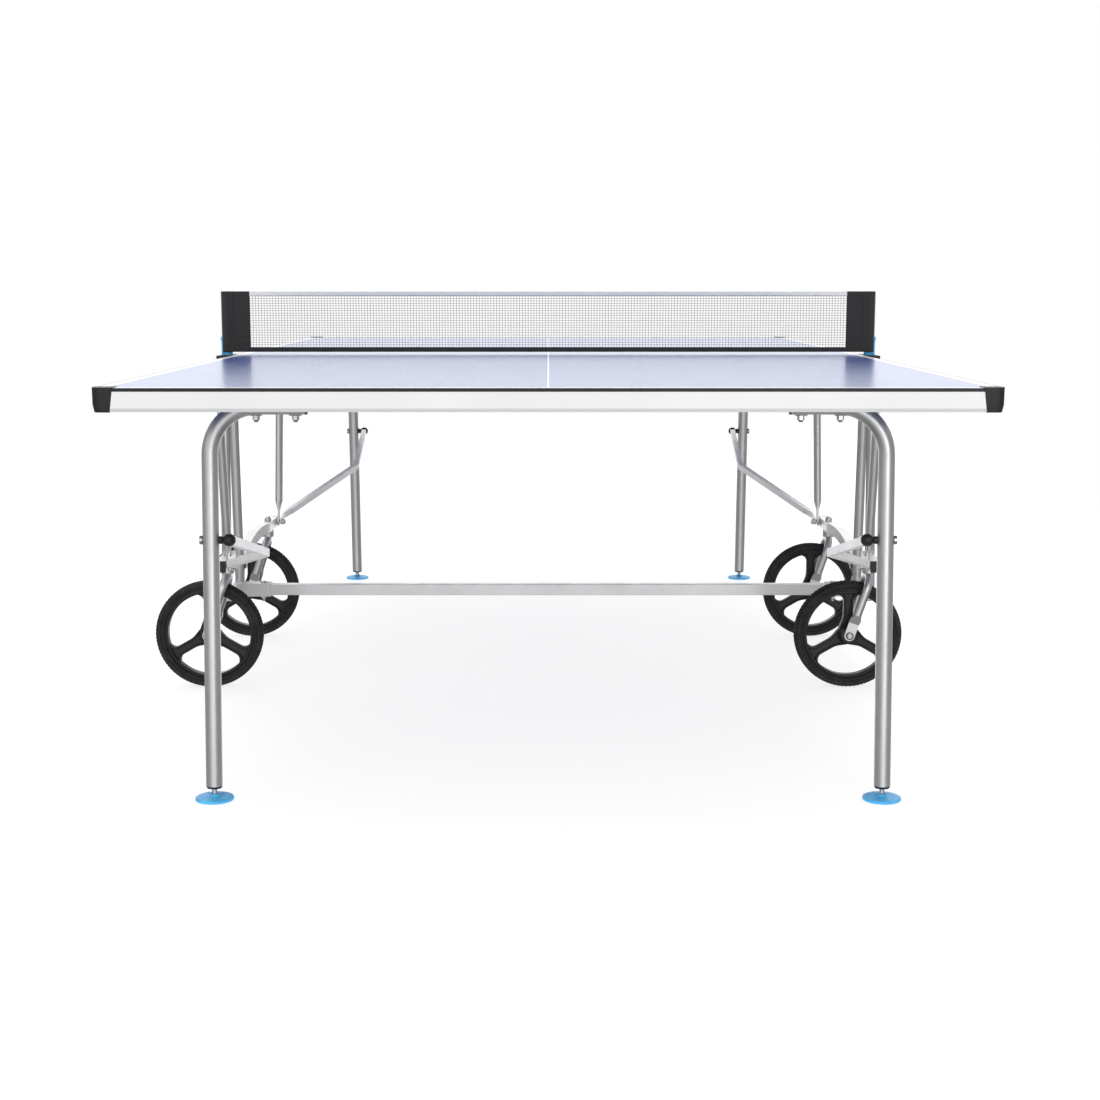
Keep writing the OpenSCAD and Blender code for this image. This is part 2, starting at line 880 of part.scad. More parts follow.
// The fork is one bent tube in a plane that leans from the axle up to the stem
module fork() {
    rise = fork_apex_z - wheel_z;
    blade = norm([caster_trail, rise]) - fork_y;
    crown_top = fork_apex_z + fork_r;
    nut_z = arm_z + arm_side / 2 + 0.5;
    head_y = fork_plate_y + fork_plate_t / 2 + axle_head / 2;
    color("silver") {
        translate([-caster_trail, 0, wheel_z])
        rotate([0, atan2(caster_trail, rise), 0]) {
            for (s = [0, 1]) mirror([0, s, 0]) fork_blade(blade);
            translate([0, 0, blade])
            rotate([90, 0, 90])
            rotate_extrude(angle = 180)
            translate([fork_y, 0])
            circle(r = fork_r);
        }
        // Bearing ring, stem and dome nut
        translate([0, 0, crown_top - 4]) cylinder(h = arm_z - arm_side / 2 - crown_top + 3.5, r = 15);
        translate([0, 0, crown_top - 4]) cylinder(h = nut_z - crown_top + 8, r = stem_r);
        translate([0, 0, nut_z]) cylinder(h = 6, r = 9, $fn = 6);
        translate([0, 0, nut_z + 6]) cylinder(h = 5, r1 = 8, r2 = 4);
        // Axle with its heads
        translate([-caster_trail, 0, wheel_z]) rotate([90, 0, 0]) {
            cylinder(h = 2 * head_y, r = axle_r, center = true);
            for (s = [-1, 1]) translate([0, 0, s * head_y]) cylinder(h = axle_head, r = 8.5, center = true);
        }
    }
}

// Moves the wheel's own frame, with Z along the axle, to its place
module at_wheel(side, h) {
    at_caster(side, h)
    translate([-caster_trail, 0, wheel_z])
    rotate([90, 0, 0])
    children();
}

module spoke() {
    hull() {
        translate([0, 12, 0]) cube([20, 1, 16], center = true);
        translate([0, 60, 0]) cube([18, 1, 13], center = true);
    }
    hull() {
        translate([0, 60, 0]) cube([18, 1, 13], center = true);
        translate([0, 94, 0]) cube([36, 1, 13], center = true);
    }
}

module rim() {
    color("#2c2c2e")
    difference() {
        union() {
            cylinder(h = hub_w - 1, r = hub_r, center = true);
            rotate_extrude()
            polygon([
                [90, -rim_w / 2], [tyre_in - 4, -rim_w / 2], [tyre_in, -rim_w / 2 + 4],
                [tyre_in, rim_w / 2 - 4], [tyre_in - 4, rim_w / 2], [90, rim_w / 2]
            ]);
            for (a = [0, 120, 240]) rotate(a) spoke();
        }
        cylinder(h = hub_w + 2, r = axle_r + running, center = true);
    }
}

module tyre() {
    shoulder = 9;
    color("#242426")
    rotate_extrude()
    difference() {
        hull() {
            for (s = [-1, 1])
                translate([wheel_od / 2 - shoulder, s * (tyre_w / 2 - shoulder)]) circle(r = shoulder);
            translate([tyre_in - 4, -rim_w / 2 - 3]) square([2, rim_w + 6]);
        }
        translate([0, -rim_w / 2 - eps]) square([tyre_in - 4 + eps, rim_w + 2 * eps]);
        polygon([
            [tyre_in - 6, -rim_w / 2 - eps], [tyre_in - 4, -rim_w / 2 - eps], [tyre_in + eps, -rim_w / 2 + 4],
            [tyre_in + eps, rim_w / 2 - 4], [tyre_in - 4, rim_w / 2 + eps], [tyre_in - 6, rim_w / 2 + eps]
        ]);
    }
}

// ---- Nodes ----

crossbar();
side_bases();
posts();
caster_arms();
arm_caps();
frame_fasteners();
net_brackets();
net_posts();
net_collars();
net_mesh();
net_tape();
net_band();
net_sleeves();

for (half = [["near", -1], ["far", 1]]) {
    name = half[0];
    h = half[1];
    on_half(h) panel();
    on_half(h) edging();
    on_half(h) apron();
    on_half(h) corner_caps();
    on_half(h) rails();
    on_half(h) half_brackets();
    on_half(h) leg_saddles();
    on_half(h) half_fasteners();
    on_half(h) sliders();
    on_half(h) leg_tubes();
    on_half(h) leg_plugs();
    on_half(h) strut_bolts();
    on_half(h) strut_tubes();
    on_half(h) strut_knobs();
    on_half(h) links();
    for (side = [["left", -1], ["right", 1]]) {
        corner = str(name, "_", side[0]);
        s = side[1];
        on_half(h) foot(s);
        at_caster(s, h) fork();
        at_wheel(s, h) rim();
        at_wheel(s, h) tyre();
    }
}
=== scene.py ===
"""Looks for a folding table tennis table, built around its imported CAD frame.

The frame's own parts keep their shapes and get materials and soft edges. The net, its tape, band
and end sleeves, the tyres, the wheel rims and the feet are modelled here in full and stand for
their plain CAD solids. Axle screws are added on the casters' forks.
Lengths are metres in the row frame: X across the table, Y along it, Z up.
"""

import json
import math
import random

import bpy
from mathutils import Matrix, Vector


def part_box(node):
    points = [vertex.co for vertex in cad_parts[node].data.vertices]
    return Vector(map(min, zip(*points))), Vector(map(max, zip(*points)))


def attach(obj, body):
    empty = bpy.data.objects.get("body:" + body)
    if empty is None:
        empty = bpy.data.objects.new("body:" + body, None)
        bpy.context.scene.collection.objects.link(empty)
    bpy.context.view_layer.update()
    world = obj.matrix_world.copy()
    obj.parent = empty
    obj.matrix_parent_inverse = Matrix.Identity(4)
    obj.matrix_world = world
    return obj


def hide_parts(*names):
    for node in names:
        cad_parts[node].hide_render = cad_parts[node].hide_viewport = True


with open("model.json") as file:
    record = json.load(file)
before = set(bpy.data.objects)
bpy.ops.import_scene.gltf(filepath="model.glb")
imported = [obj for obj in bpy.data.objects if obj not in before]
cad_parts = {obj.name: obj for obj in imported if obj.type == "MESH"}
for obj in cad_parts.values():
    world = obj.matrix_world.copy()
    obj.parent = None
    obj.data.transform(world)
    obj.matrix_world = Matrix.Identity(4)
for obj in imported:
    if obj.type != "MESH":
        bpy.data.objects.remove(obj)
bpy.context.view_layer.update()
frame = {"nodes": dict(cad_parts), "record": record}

MM = 0.001
HALVES = ("near", "far")
CORNERS = [f"{half}_{side}" for half in HALVES for side in ("left", "right")]


# ---- Places read from the frame ----

_, top_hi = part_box("edging_far")
half_width = top_hi.x
half_length = top_hi.y
top_z = top_hi.z
apron_lo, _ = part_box("apron_near")
mesh_lo, mesh_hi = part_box("net_mesh")
tape_lo, tape_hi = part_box("net_tape")
band_lo, band_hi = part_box("net_band")
sleeve_lo, sleeve_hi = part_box("net_sleeves")
collar_lo, collar_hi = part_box("net_collars")


# ---- Mesh helpers ----


def add_piece(name, builder, body, slot):
    """A new mesh object that rides on a body and takes a record slot's finish."""
    mesh = bpy.data.meshes.new(name)
    mesh.from_pydata([tuple(v) for v in builder.verts], [], builder.faces)
    mesh.validate()
    mesh.update()
    mesh.shade_smooth()
    mesh.materials.append(MATERIALS[slot])
    piece = bpy.data.objects.new(name, mesh)
    bpy.context.scene.collection.objects.link(piece)
    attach(piece, body)
    return piece


def soften(piece, width, angle=30.0, segments=2):
    """Rounds the sharp edges of a piece and shades its flats flat."""
    weld = piece.modifiers.new("weld", "WELD")
    weld.merge_threshold = 0.00001
    bevel = piece.modifiers.new("bevel", "BEVEL")
    bevel.width = width
    bevel.segments = segments
    bevel.limit_method = "ANGLE"
    bevel.angle_limit = math.radians(angle)
    bevel.use_clamp_overlap = True
    normals = piece.modifiers.new("normals", "WEIGHTED_NORMAL")
    normals.weight = 100
    normals.keep_sharp = False


class Builder:
    """Collects the vertices and faces of one mesh."""

    def __init__(self):
        self.verts = []
        self.faces = []

    def ring_strip(self, rings, closed_along=False, caps=True):
        """Joins rings of equal length, each a closed loop of points, into a skin."""
        start = len(self.verts)
        count = len(rings[0])
        for ring in rings:
            self.verts.extend(ring)
        steps = len(rings) if closed_along else len(rings) - 1
        for i in range(steps):
            a = start + i * count
            b = start + ((i + 1) % len(rings)) * count
            for j in range(count):
                k = (j + 1) % count
                self.faces.append((a + j, a + k, b + k, b + j))
        if caps and not closed_along:
            self.faces.append(tuple(start + j for j in reversed(range(count))))
            last = start + (len(rings) - 1) * count
            self.faces.append(tuple(last + j for j in range(count)))


def spread(start, end, count):
    """count + 1 numbers from start to end, evenly apart."""
    return [start + (end - start) * i / count for i in range(count + 1)]


def both_faces(profile):
    """A profile of (radius, height) pairs, then its mirror image on the other side of height 0."""
    return profile + [(r, -h) for r, h in reversed(profile)]


# ---- Materials ----


def map_range(tree, value, low, high, to_low, to_high):
    """Maps a value from one range to another, in a material's or the world's node tree."""
    node = tree.nodes.new("ShaderNodeMapRange")
    tree.links.new(value, node.inputs["Value"])
    limits = {"From Min": low, "From Max": high, "To Min": to_low, "To Max": to_high}
    for name, number in limits.items():
        node.inputs[name].default_value = number
    return node.outputs["Result"]


class Nodes:
    """A material's node tree, with short calls for the nodes used here."""

    def __init__(self, name):
        self.material = bpy.data.materials.new(name)
        self.material.use_nodes = True
        self.tree = self.material.node_tree
        self.shader = self.tree.nodes["Principled BSDF"]
        self.coords = self.tree.nodes.new("ShaderNodeTexCoord").outputs["Object"]

    def set(self, **values):
        """Sets constants on the shader's own sockets."""
        for name, value in values.items():
            socket = name.replace("_", " ").title().replace("Ior", "IOR")
            self.shader.inputs[socket].default_value = value

    def link(self, output, socket):
        self.tree.links.new(output, socket)
        return output

    def scaled(self, scale):
        """Object coordinates stretched by a vector."""
        node = self.tree.nodes.new("ShaderNodeMapping")
        node.inputs["Scale"].default_value = scale
        self.link(self.coords, node.inputs["Vector"])
        return node.outputs["Vector"]

    def noise(self, scale, detail=3.0, vector=None):
        node = self.tree.nodes.new("ShaderNodeTexNoise")
        node.inputs["Scale"].default_value = scale
        node.inputs["Detail"].default_value = detail
        self.link(vector or self.coords, node.inputs["Vector"])
        return node.outputs["Fac"]

    def math(self, operation, a, b=None):
        node = self.tree.nodes.new("ShaderNodeMath")
        node.operation = operation
        for socket, value in zip(node.inputs, (a, b)):
            if value is None:
                continue
            if isinstance(value, (int, float)):
                socket.default_value = value
            else:
                self.link(value, socket)
        return node.outputs["Value"]

    def spread(self, value, *limits):
        """Maps a value from one range to another, given as low, high, to_low, to_high."""
        return map_range(self.tree, value, *limits)

    def mix(self, factor, a, b):
        """Mixes two colours, each a tuple or an output."""
        node = self.tree.nodes.new("ShaderNodeMix")
        node.data_type = "RGBA"
        self.link(factor, node.inputs["Factor"])
        for name, value in (("A", a), ("B", b)):
            socket = next(s for s in node.inputs if s.name == name and s.type == "RGBA")
            if isinstance(value, tuple):
                socket.default_value = (*value, 1)
            else:
                self.link(value, socket)
        return next(s for s in node.outputs if s.type == "RGBA")

    def axes(self):
        """The X, Y and Z of the object coordinates."""
        node = self.tree.nodes.new("ShaderNodeSeparateXYZ")
        self.link(self.coords, node.inputs["Vector"])
        return node.outputs

    def bump(self, height, strength, distance):
        node = self.tree.nodes.new("ShaderNodeBump")
        node.inputs["Strength"].default_value = strength
        node.inputs["Distance"].default_value = distance
        self.link(height, node.inputs["Height"])
        self.link(node.outputs["Normal"], self.shader.inputs["Normal"])

    def colour(self, output):
        self.link(output, self.shader.inputs["Base Color"])

    def roughness(self, output):
        self.link(output, self.shader.inputs["Roughness"])


def shade(colour, factor):
    return tuple(min(1.0, c * factor) for c in colour)


def painted_tube(name, colour, metallic, rough):
    """Metallic powder coat: a fine flake, a faint orange peel and slightly uneven gloss."""
    n = Nodes(name)
    n.set(metallic=metallic)
    flake = n.noise(2600, 1.0)
    peel = n.noise(160, 2.0)
    cloud = n.noise(9, 4.0)
    tone = n.mix(n.spread(cloud, 0.3, 0.7, 0, 1), shade(colour, 0.95), shade(colour, 1.04))
    n.colour(n.mix(n.spread(flake, 0.55, 0.75, 0, 0.35), tone, shade(colour, 1.35)))
    n.roughness(n.spread(n.noise(30, 3.0), 0.3, 0.7, rough - 0.04, rough + 0.05))
    n.bump(n.math("ADD", n.math("MULTIPLY", flake, 0.15), peel), 0.25, 0.00005)
    return n.material


def zinc():
    """Bright zinc plate with a faint mottle."""
    n = Nodes("zinc")
    n.set(metallic=1.0)
    mottle = n.noise(420, 3.0)
    n.colour(n.mix(mottle, (0.62, 0.63, 0.65), (0.80, 0.80, 0.79)))
    n.roughness(n.spread(mottle, 0.3, 0.7, 0.22, 0.36))
    n.bump(n.noise(1500, 2.0), 0.15, 0.00003)
    return n.material


def white_paint():
    """Satin white enamel on steel: faint orange peel, light handling dust, and painted shade along
    the lower lip.
    """
    shade_start, shade_end = 5 * MM, 7 * MM
    n = Nodes("white_paint")
    n.set(coat_weight=0.15, coat_roughness=0.25)
    dust = n.noise(7, 5.0)
    paint = n.mix(n.spread(dust, 0.35, 0.75, 0, 1), (0.86, 0.865, 0.87), (0.81, 0.815, 0.82))
    # Painted shade: the paint turns darker over the lowest few millimetres above the apron's lower
    # edge, for the shade on its folded lip
    lower_edge_shade = n.spread(n.axes()["Z"], apron_lo.z + shade_start, apron_lo.z + shade_end, 1, 0)
    n.colour(n.mix(lower_edge_shade, paint, (0.60, 0.605, 0.615)))
    n.roughness(n.spread(n.noise(45, 3.0), 0.3, 0.7, 0.34, 0.44))
    n.bump(n.noise(210, 2.0), 0.25, 0.00006)
    return n.material


def playing_surface():
    """Fine grained blue laminate, with the white side, end and centre lines painted on."""
    side_line, centre_line = 20 * MM, 3 * MM
    n = Nodes("playing_surface")
    n.set(
        ior=1.9, specular_tint=(0.71, 0.82, 1.0, 1), coat_weight=0.1, coat_roughness=0.25
    )
    axes = n.axes()
    across = n.math("ABSOLUTE", axes["X"])
    along = n.math("ABSOLUTE", axes["Y"])
    side = n.math("GREATER_THAN", across, half_width - side_line)
    end = n.math("GREATER_THAN", along, half_length - side_line)
    centre = n.math("LESS_THAN", across, centre_line / 2)
    line = n.math("MAXIMUM", n.math("MAXIMUM", side, end), centre)
    upper = n.math("GREATER_THAN", axes["Z"], top_z - 2 * MM)
    line = n.math("MULTIPLY", line, upper)
    grain = n.noise(1400, 2.0)
    cloud = n.noise(3, 3.0)
    blue = n.mix(n.spread(cloud, 0.3, 0.7, 0, 1), (0.030, 0.075, 0.300), (0.033, 0.080, 0.315))
    blue = n.mix(n.spread(grain, 0.35, 0.65, 0, 0.3), blue, (0.055, 0.110, 0.380))
    under = n.mix(grain, (0.035, 0.050, 0.120), (0.050, 0.070, 0.150))
    white = n.mix(grain, (0.80, 0.80, 0.80), (0.90, 0.90, 0.90))
    n.colour(n.mix(line, n.mix(upper, under, blue), white))
    n.roughness(n.spread(n.noise(18, 4.0), 0.3, 0.7, 0.225, 0.24))
    n.bump(n.math("ADD", grain, n.math("MULTIPLY", line, 0.6)), 0.12, 0.00004)
    return n.material


def moulded_plastic(name, colour, rough, grain=900, height=0.00008):
    """Moulded plastic with a spark eroded grain."""
    n = Nodes(name)
    n.set(specular_ior_level=0.4)
    fine = n.noise(grain, 3.0)
    worn = n.noise(25, 4.0)
    n.colour(n.mix(n.spread(worn, 0.35, 0.75, 0, 1), colour, shade(colour, 1.35)))
    n.roughness(n.spread(worn, 0.3, 0.7, rough - 0.06, rough + 0.08))
    n.bump(fine, 0.45, height)
    return n.material


def rubber():
    """Tyre rubber, dull and slightly dusty on the crown."""
    n = Nodes("tyre_rubber")
    dust = n.noise(60, 5.0)
    n.set(specular_ior_level=0.35)
    n.colour(n.mix(n.spread(dust, 0.4, 0.75, 0, 1), (0.018, 0.018, 0.019), (0.036, 0.036, 0.036)))
    n.roughness(n.spread(dust, 0.3, 0.7, 0.62, 0.82))
    n.bump(n.noise(700, 4.0), 0.5, 0.00012)
    return n.material


def woven(name, dark, light, thread, rough=0.85, sheen=0.3):
    """Plain weave seen along X and Z: two crossed waves, with uneven threads, and painted shade in
    the weave's low parts.
    """
    n = Nodes(name)
    n.set(sheen_weight=sheen, sheen_roughness=0.5, specular_ior_level=0.25)
    axes = n.axes()
    turns = math.pi / thread
    warp = n.math("SINE", n.math("MULTIPLY", axes["X"], turns))
    weft = n.math("SINE", n.math("MULTIPLY", axes["Z"], turns))
    weave = n.math("MULTIPLY", warp, weft)
    slub = n.noise(240, 3.0, n.scaled((1, 1, 6)))
    height = n.math("ADD", weave, n.math("MULTIPLY", slub, 0.8))
    # The colour follows the height: painted shade where the weave is low, plus the real unevenness
    # in tone of the threads
    n.colour(n.mix(n.spread(height, -0.6, 1.4, 0, 1), dark, light))
    n.roughness(n.spread(slub, 0.2, 0.8, rough - 0.08, rough + 0.08))
    n.bump(height, 0.5, 0.00018)
    return n.material


def floor_paint():
    """White studio paper."""
    n = Nodes("studio_floor")
    n.set(specular_ior_level=0.1, emission_color=(1, 1, 1, 1), emission_strength=0.77)
    n.colour(n.mix(n.noise(0.8, 2.0), (0.37, 0.37, 0.375), (0.38, 0.38, 0.385)))
    n.roughness(n.spread(n.noise(3, 2.0), 0.3, 0.7, 0.75, 0.85))
    return n.material


MATERIALS = {
    "silver_steel": painted_tube("silver_steel", (0.71, 0.715, 0.72), 0.9, 0.36),
    "light_silver": painted_tube("light_silver", (0.78, 0.79, 0.80), 0.45, 0.36),
    "zinc_steel": zinc(),
    "white_paint": white_paint(),
    "blue_panel": playing_surface(),
    "dark_edging": moulded_plastic("dark_edging", (0.013, 0.013, 0.014), 0.42, 500),
    "black_plastic": moulded_plastic("black_plastic", (0.015, 0.015, 0.016), 0.46),
    "blue_plastic": moulded_plastic("blue_plastic", (0.085, 0.460, 0.960), 0.36, 700, 0.00005),
    "net_cord": woven("net_cord", (0.012, 0.012, 0.012), (0.040, 0.040, 0.041), 0.7 * MM),
    "white_tape": woven("white_tape", (0.93, 0.93, 0.92), (0.98, 0.98, 0.97), 0.6 * MM, 0.8, 0.15),
    "black_fabric": woven("black_fabric", (0.022, 0.022, 0.023), (0.052, 0.052, 0.054), 0.8 * MM),
    "black_wheel": moulded_plastic("black_wheel", (0.012, 0.012, 0.013), 0.30, 600),
    "tyre_rubber": rubber(),
}


def dress_frame():
    """Gives each CAD node its slot's material, and rounds the edges of some kinds."""
    # Millimetres, by how the node's name starts
    edge_widths = {
        "crossbar": 1.2, "side_bases": 1.2, "net_brackets": 1.5, "arm_caps": 0.8, "apron": 0.5,
        "edging": 0.5, "strut_tubes": 1.2, "corner_caps": 1.0, "rails": 0.8, "half_brackets": 0.5,
        "leg_saddles": 0.4, "net_collars": 0.5, "strut_knobs": 0.8, "leg_plugs": 0.4, "fork": 0.4,
    }
    for row in frame["record"]["subparts"]:
        node = frame["nodes"][row["node"]]
        node.data.materials.clear()
        node.data.materials.append(MATERIALS[row["material_slot"]])
        kind = next((k for k in edge_widths if row["node"].startswith(k)), None)
        if kind:
            soften(node, edge_widths[kind] * MM)


# ---- Net ----


def strand(builder, points, radius, sides=6):
    """A thin cord through points, drawn as a tube."""
    rings = []
    for i, point in enumerate(points):
        ahead = points[min(i + 1, len(points) - 1)] - points[max(i - 1, 0)]
        along = ahead.normalized()
        side = along.cross(Vector((0, 1, 0))).normalized()
        back = along.cross(side)
        rings.append([
            point + radius * (math.cos(a) * side + math.sin(a) * back)
            for a in (2 * math.pi * k / sides for k in range(sides))
        ])
    builder.ring_strip(rings)


def knot(builder, centre, radius):
    """A small six pointed knot."""
    start = len(builder.verts)
    for axis in ((1, 0, 0), (0, 1, 0), (-1, 0, 0), (0, -1, 0), (0, 0, 1), (0, 0, -1)):
        builder.verts.append(centre + radius * Vector(axis))
    for k in range(4):
        a, b = start + k, start + (k + 1) % 4
        builder.faces.append((a, b, start + 4))
        builder.faces.append((b, a, start + 5))


def net_strands():
    """The square net: warp and weft cords crossing in one plane, with a small knot where they
    cross.
    """
    pitch_x, pitch_z, radius = 7.0 * MM, 5.9 * MM, 0.40 * MM
    rng = random.Random(11)
    columns = round((mesh_hi.x - mesh_lo.x) / pitch_x)
    rows = round((mesh_hi.z - mesh_lo.z) / pitch_z)
    xs = spread(mesh_lo.x + radius, mesh_hi.x - radius, columns)
    zs = spread(mesh_lo.z + radius, mesh_hi.z - radius, rows)
    slack = [[rng.uniform(-0.12, 0.12) * MM for _ in zs] for _ in xs]

    def crossing(i, j, sideways):
        """Where two cords cross, slack except at the net's upper and lower edges."""
        return Vector((xs[i] + sideways * slack[i][j], 0, zs[j] + slack[i][j] * (0 < j < rows)))

    builder = Builder()
    for j in range(len(zs)):
        strand(builder, [crossing(i, j, 0) for i in range(len(xs))], radius)
    for i in range(len(xs)):
        strand(builder, [crossing(i, j, 0.5) for j in range(len(zs))], radius)
    for i in range(len(xs)):
        for j in range(len(zs)):
            knot(builder, crossing(i, j, 0.25), 1.5 * radius)
    piece = add_piece("net_strands", builder, "carriage", "net_cord")
    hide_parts("net_mesh")


def folded_cloth(name, lo, hi, thick, hem_edge, slot, replaced, rng):
    """A strip of cloth folded over the net's edge: rounded at the fold, stitched at the hem."""
    length = hi.x - lo.x
    fold_up = hem_edge == "lower"
    steps, sway = 240, 0.10 * MM
    half = thick / 2
    height = hi.z - lo.z
    fold_start = height - half
    outline = []
    for s in spread(0, 1, 5):
        outline.append((-half, s * fold_start))
    for a in spread(180, 0, 8)[1:-1]:
        c, s = math.cos(math.radians(a)), math.sin(math.radians(a))
        outline.append((half * c, fold_start + half * s))
    for s in spread(1, 0, 5):
        outline.append((half, s * fold_start))
    phases = [rng.uniform(0, 2 * math.pi) for _ in range(3)]
    rings = []
    for x in spread(0, length, steps):
        wave = sum(math.sin(x * k + p) for k, p in zip((9.0, 23.0, 61.0), phases)) * sway
        ring = []
        for y, h in outline:
            z = lo.z + h if fold_up else hi.z - h
            ring.append(Vector((lo.x + x, y + wave * (1 - h / height), z)))
        rings.append(ring if fold_up else ring[::-1])
    builder = Builder()
    builder.ring_strip(rings)
    piece = add_piece(name, builder, "carriage", slot)
    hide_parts(replaced)
    seam = stitches(f"{name}_stitching", lo, hi, half, fold_up, slot)


def stitches(name, lo, hi, half, fold_up, slot):
    """Two rows of lockstitch near the open edge, on both faces."""
    pitch, length, radius, inset, margin = 3.2 * MM, 2.3 * MM, 0.16 * MM, 2.0 * MM, 4 * MM
    z = lo.z + inset if fold_up else hi.z - inset
    builder = Builder()
    for face in (-1, 1):
        x = lo.x + margin
        while x < hi.x - margin:
            y = face * (half + 0.5 * radius)
            points = [
                Vector((x, y - face * radius, z)), Vector((x + 0.3 * length, y, z)),
                Vector((x + 0.7 * length, y, z)), Vector((x + length, y - face * radius, z)),
            ]
            strand(builder, points, radius, 4)
            x += pitch
    return add_piece(name, builder, "carriage", slot)


def sleeve_outline(post_x, inner_x, wrap, flat, gap, cloth):
    """Plan of an end sleeve: two flat layers that part round the post, up to an angle from X."""
    join = 180 - math.degrees(math.asin(min(1, (flat + 0.6 * MM) / wrap)))
    outer, lining = [], []
    for a in spread(gap, join, 14):
        c, s = math.cos(math.radians(a)), math.sin(math.radians(a))
        outer.append(Vector((post_x + wrap * c, wrap * s)))
        lining.append(Vector((post_x + (wrap - cloth) * c, (wrap - cloth) * s)))
    flat_start = outer[-1].x
    for x in spread(flat_start, inner_x + 2 * MM, 8)[1:]:
        outer.append(Vector((x, flat)))
    outer.append(Vector((inner_x + 0.6 * MM, 0.75 * flat)))
    outer.append(Vector((inner_x, 0.3 * flat)))
    bottom = [Vector((p.x, -p.y)) for p in reversed(outer)]
    lining_bottom = [Vector((p.x, -p.y)) for p in lining]
    return outer + bottom + lining_bottom + lining[::-1]


def net_sleeves():
    """Black fabric sleeves that close the net at its posts and wrap them from front and back."""
    collar_r = (collar_hi.y - collar_lo.y) / 2
    post_x = collar_hi.x - collar_r
    inner_x = mesh_hi.x
    hem, hem_thick = 10 * MM, 0.45 * MM
    wrap_r, flat_half, cloth, gap = collar_r + 1.0 * MM, 1.9 * MM, 1.0 * MM, 58
    for side, name in ((-1, "left"), (1, "right")):
        rings = []
        seam = sleeve_hi.z - hem
        levels = spread(sleeve_lo.z, seam - 0.6 * MM, 44) + [seam - 0.2 * MM, seam + 0.2 * MM]
        levels += spread(seam + 0.7 * MM, sleeve_hi.z - 0.8 * MM, 6) + [sleeve_hi.z]
        for z in levels:
            thick = hem_thick if seam < z < sleeve_hi.z else 0
            plan = sleeve_outline(
                post_x, inner_x, wrap_r + thick, flat_half + thick, gap, cloth + thick
            )
            pucker = 0.25 * MM * math.sin(z * 420 + side)
            ring = [
                Vector((side * p.x, p.y + pucker * math.sin((p.x - inner_x) * 90), z))
                for p in plan
            ]
            rings.append(ring if side < 0 else ring[::-1])
        builder = Builder()
        builder.ring_strip(rings)
        piece = add_piece(f"net_sleeve_{name}", builder, "carriage", "black_fabric")
        if side > 0:
            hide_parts("net_sleeves")


# ---- Wheels ----


def lathe(builder, profile, segments, place):
    """Turns a profile of (radius, height) pairs; place puts (x, y, height) in the row frame."""
    rings = []
    for k in range(segments):
        a = 2 * math.pi * k / segments
        rings.append([place(r * math.cos(a), r * math.sin(a), h) for r, h in profile])
    builder.ring_strip(rings, closed_along=True)


def wheel_place(corner):
    """From the wheel's own frame, with its axis as height, to the row frame: a function.

    With it come the tyre's outer radius and half its width.
    """
    lo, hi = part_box(f"tyre_{corner}")
    centre = (lo + hi) / 2

    def place(x, y, h):
        return centre + Vector((x, h, y))

    return place, (hi.x - lo.x) / 2, (hi.y - lo.y) / 2


def tyre(corner):
    """A solid rubber tyre with a smooth shoulder and a band of slanted tread lugs."""
    place, outer, half = wheel_place(corner)
    seat = outer - 21 * MM
    segments, lugs = 504, 84
    groove, tread_band = 2.8 * MM, 6 * MM
    # Shares of a lug's pitch: how far the lugs slant for each metre, half a gap, a gap's wall
    slant, gap_share, wall_share = 55, 0.10, 0.07
    sidewall = [
        (seat, 9.5 * MM), (seat + 3.5 * MM, 5.5 * MM), (seat + 5 * MM, 5.0 * MM),
        (seat + 6 * MM, 6.6 * MM), (seat + 7 * MM, 4.6 * MM), (seat + 9.5 * MM, 1.4 * MM),
        (outer - 9 * MM, 0), (outer - 5.5 * MM, 1.0 * MM), (outer - 3.2 * MM, 2.8 * MM),
        (outer - 1.7 * MM, 5.2 * MM), (outer - 0.7 * MM, 8.5 * MM), (outer - 0.1 * MM, 14 * MM),
    ]
    middle_groove = [(outer - 0.1 * MM, -3.0 * MM), (outer - 2.2 * MM, -2.2 * MM)]
    profile = both_faces([(r, inset - half) for r, inset in sidewall] + middle_groove)
    builder = Builder()
    rings = []
    for k in range(segments):
        a = 2 * math.pi * k / segments
        ring = []
        for r, h in profile:
            cut = 0.0
            if r > outer - tread_band:
                phase = (a * lugs / (2 * math.pi) + abs(h) * slant) % 1.0
                edge = min(phase, 1 - phase)
                cut = groove * (1 - min(1, max(0, (edge - gap_share) / wall_share)))
            ring.append(place((r - cut) * math.cos(a), (r - cut) * math.sin(a), h))
        rings.append(ring)
    builder.ring_strip(rings, closed_along=True)
    piece = add_piece(f"tyre_body_{corner}", builder, f"wheel_{corner}", "tyre_rubber")
    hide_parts(f"tyre_{corner}")


def spoke_edge(radius, hub, rim):
    """Half the angle of a spoke at this radius: wide at the hub and the rim, slim between."""
    slim = 11.5 * MM
    hub_flare, hub_reach = 12 * MM, 26 * MM
    rim_flare, rim_reach = 17 * MM, 22 * MM
    toward_hub = max(0, 1 - (radius - hub) / hub_reach)
    toward_rim = max(0, 1 - (rim - radius) / rim_reach)
    width = slim + hub_flare * toward_hub ** 2.2 + rim_flare * toward_rim ** 2.6
    return math.asin(min(1, width / radius))


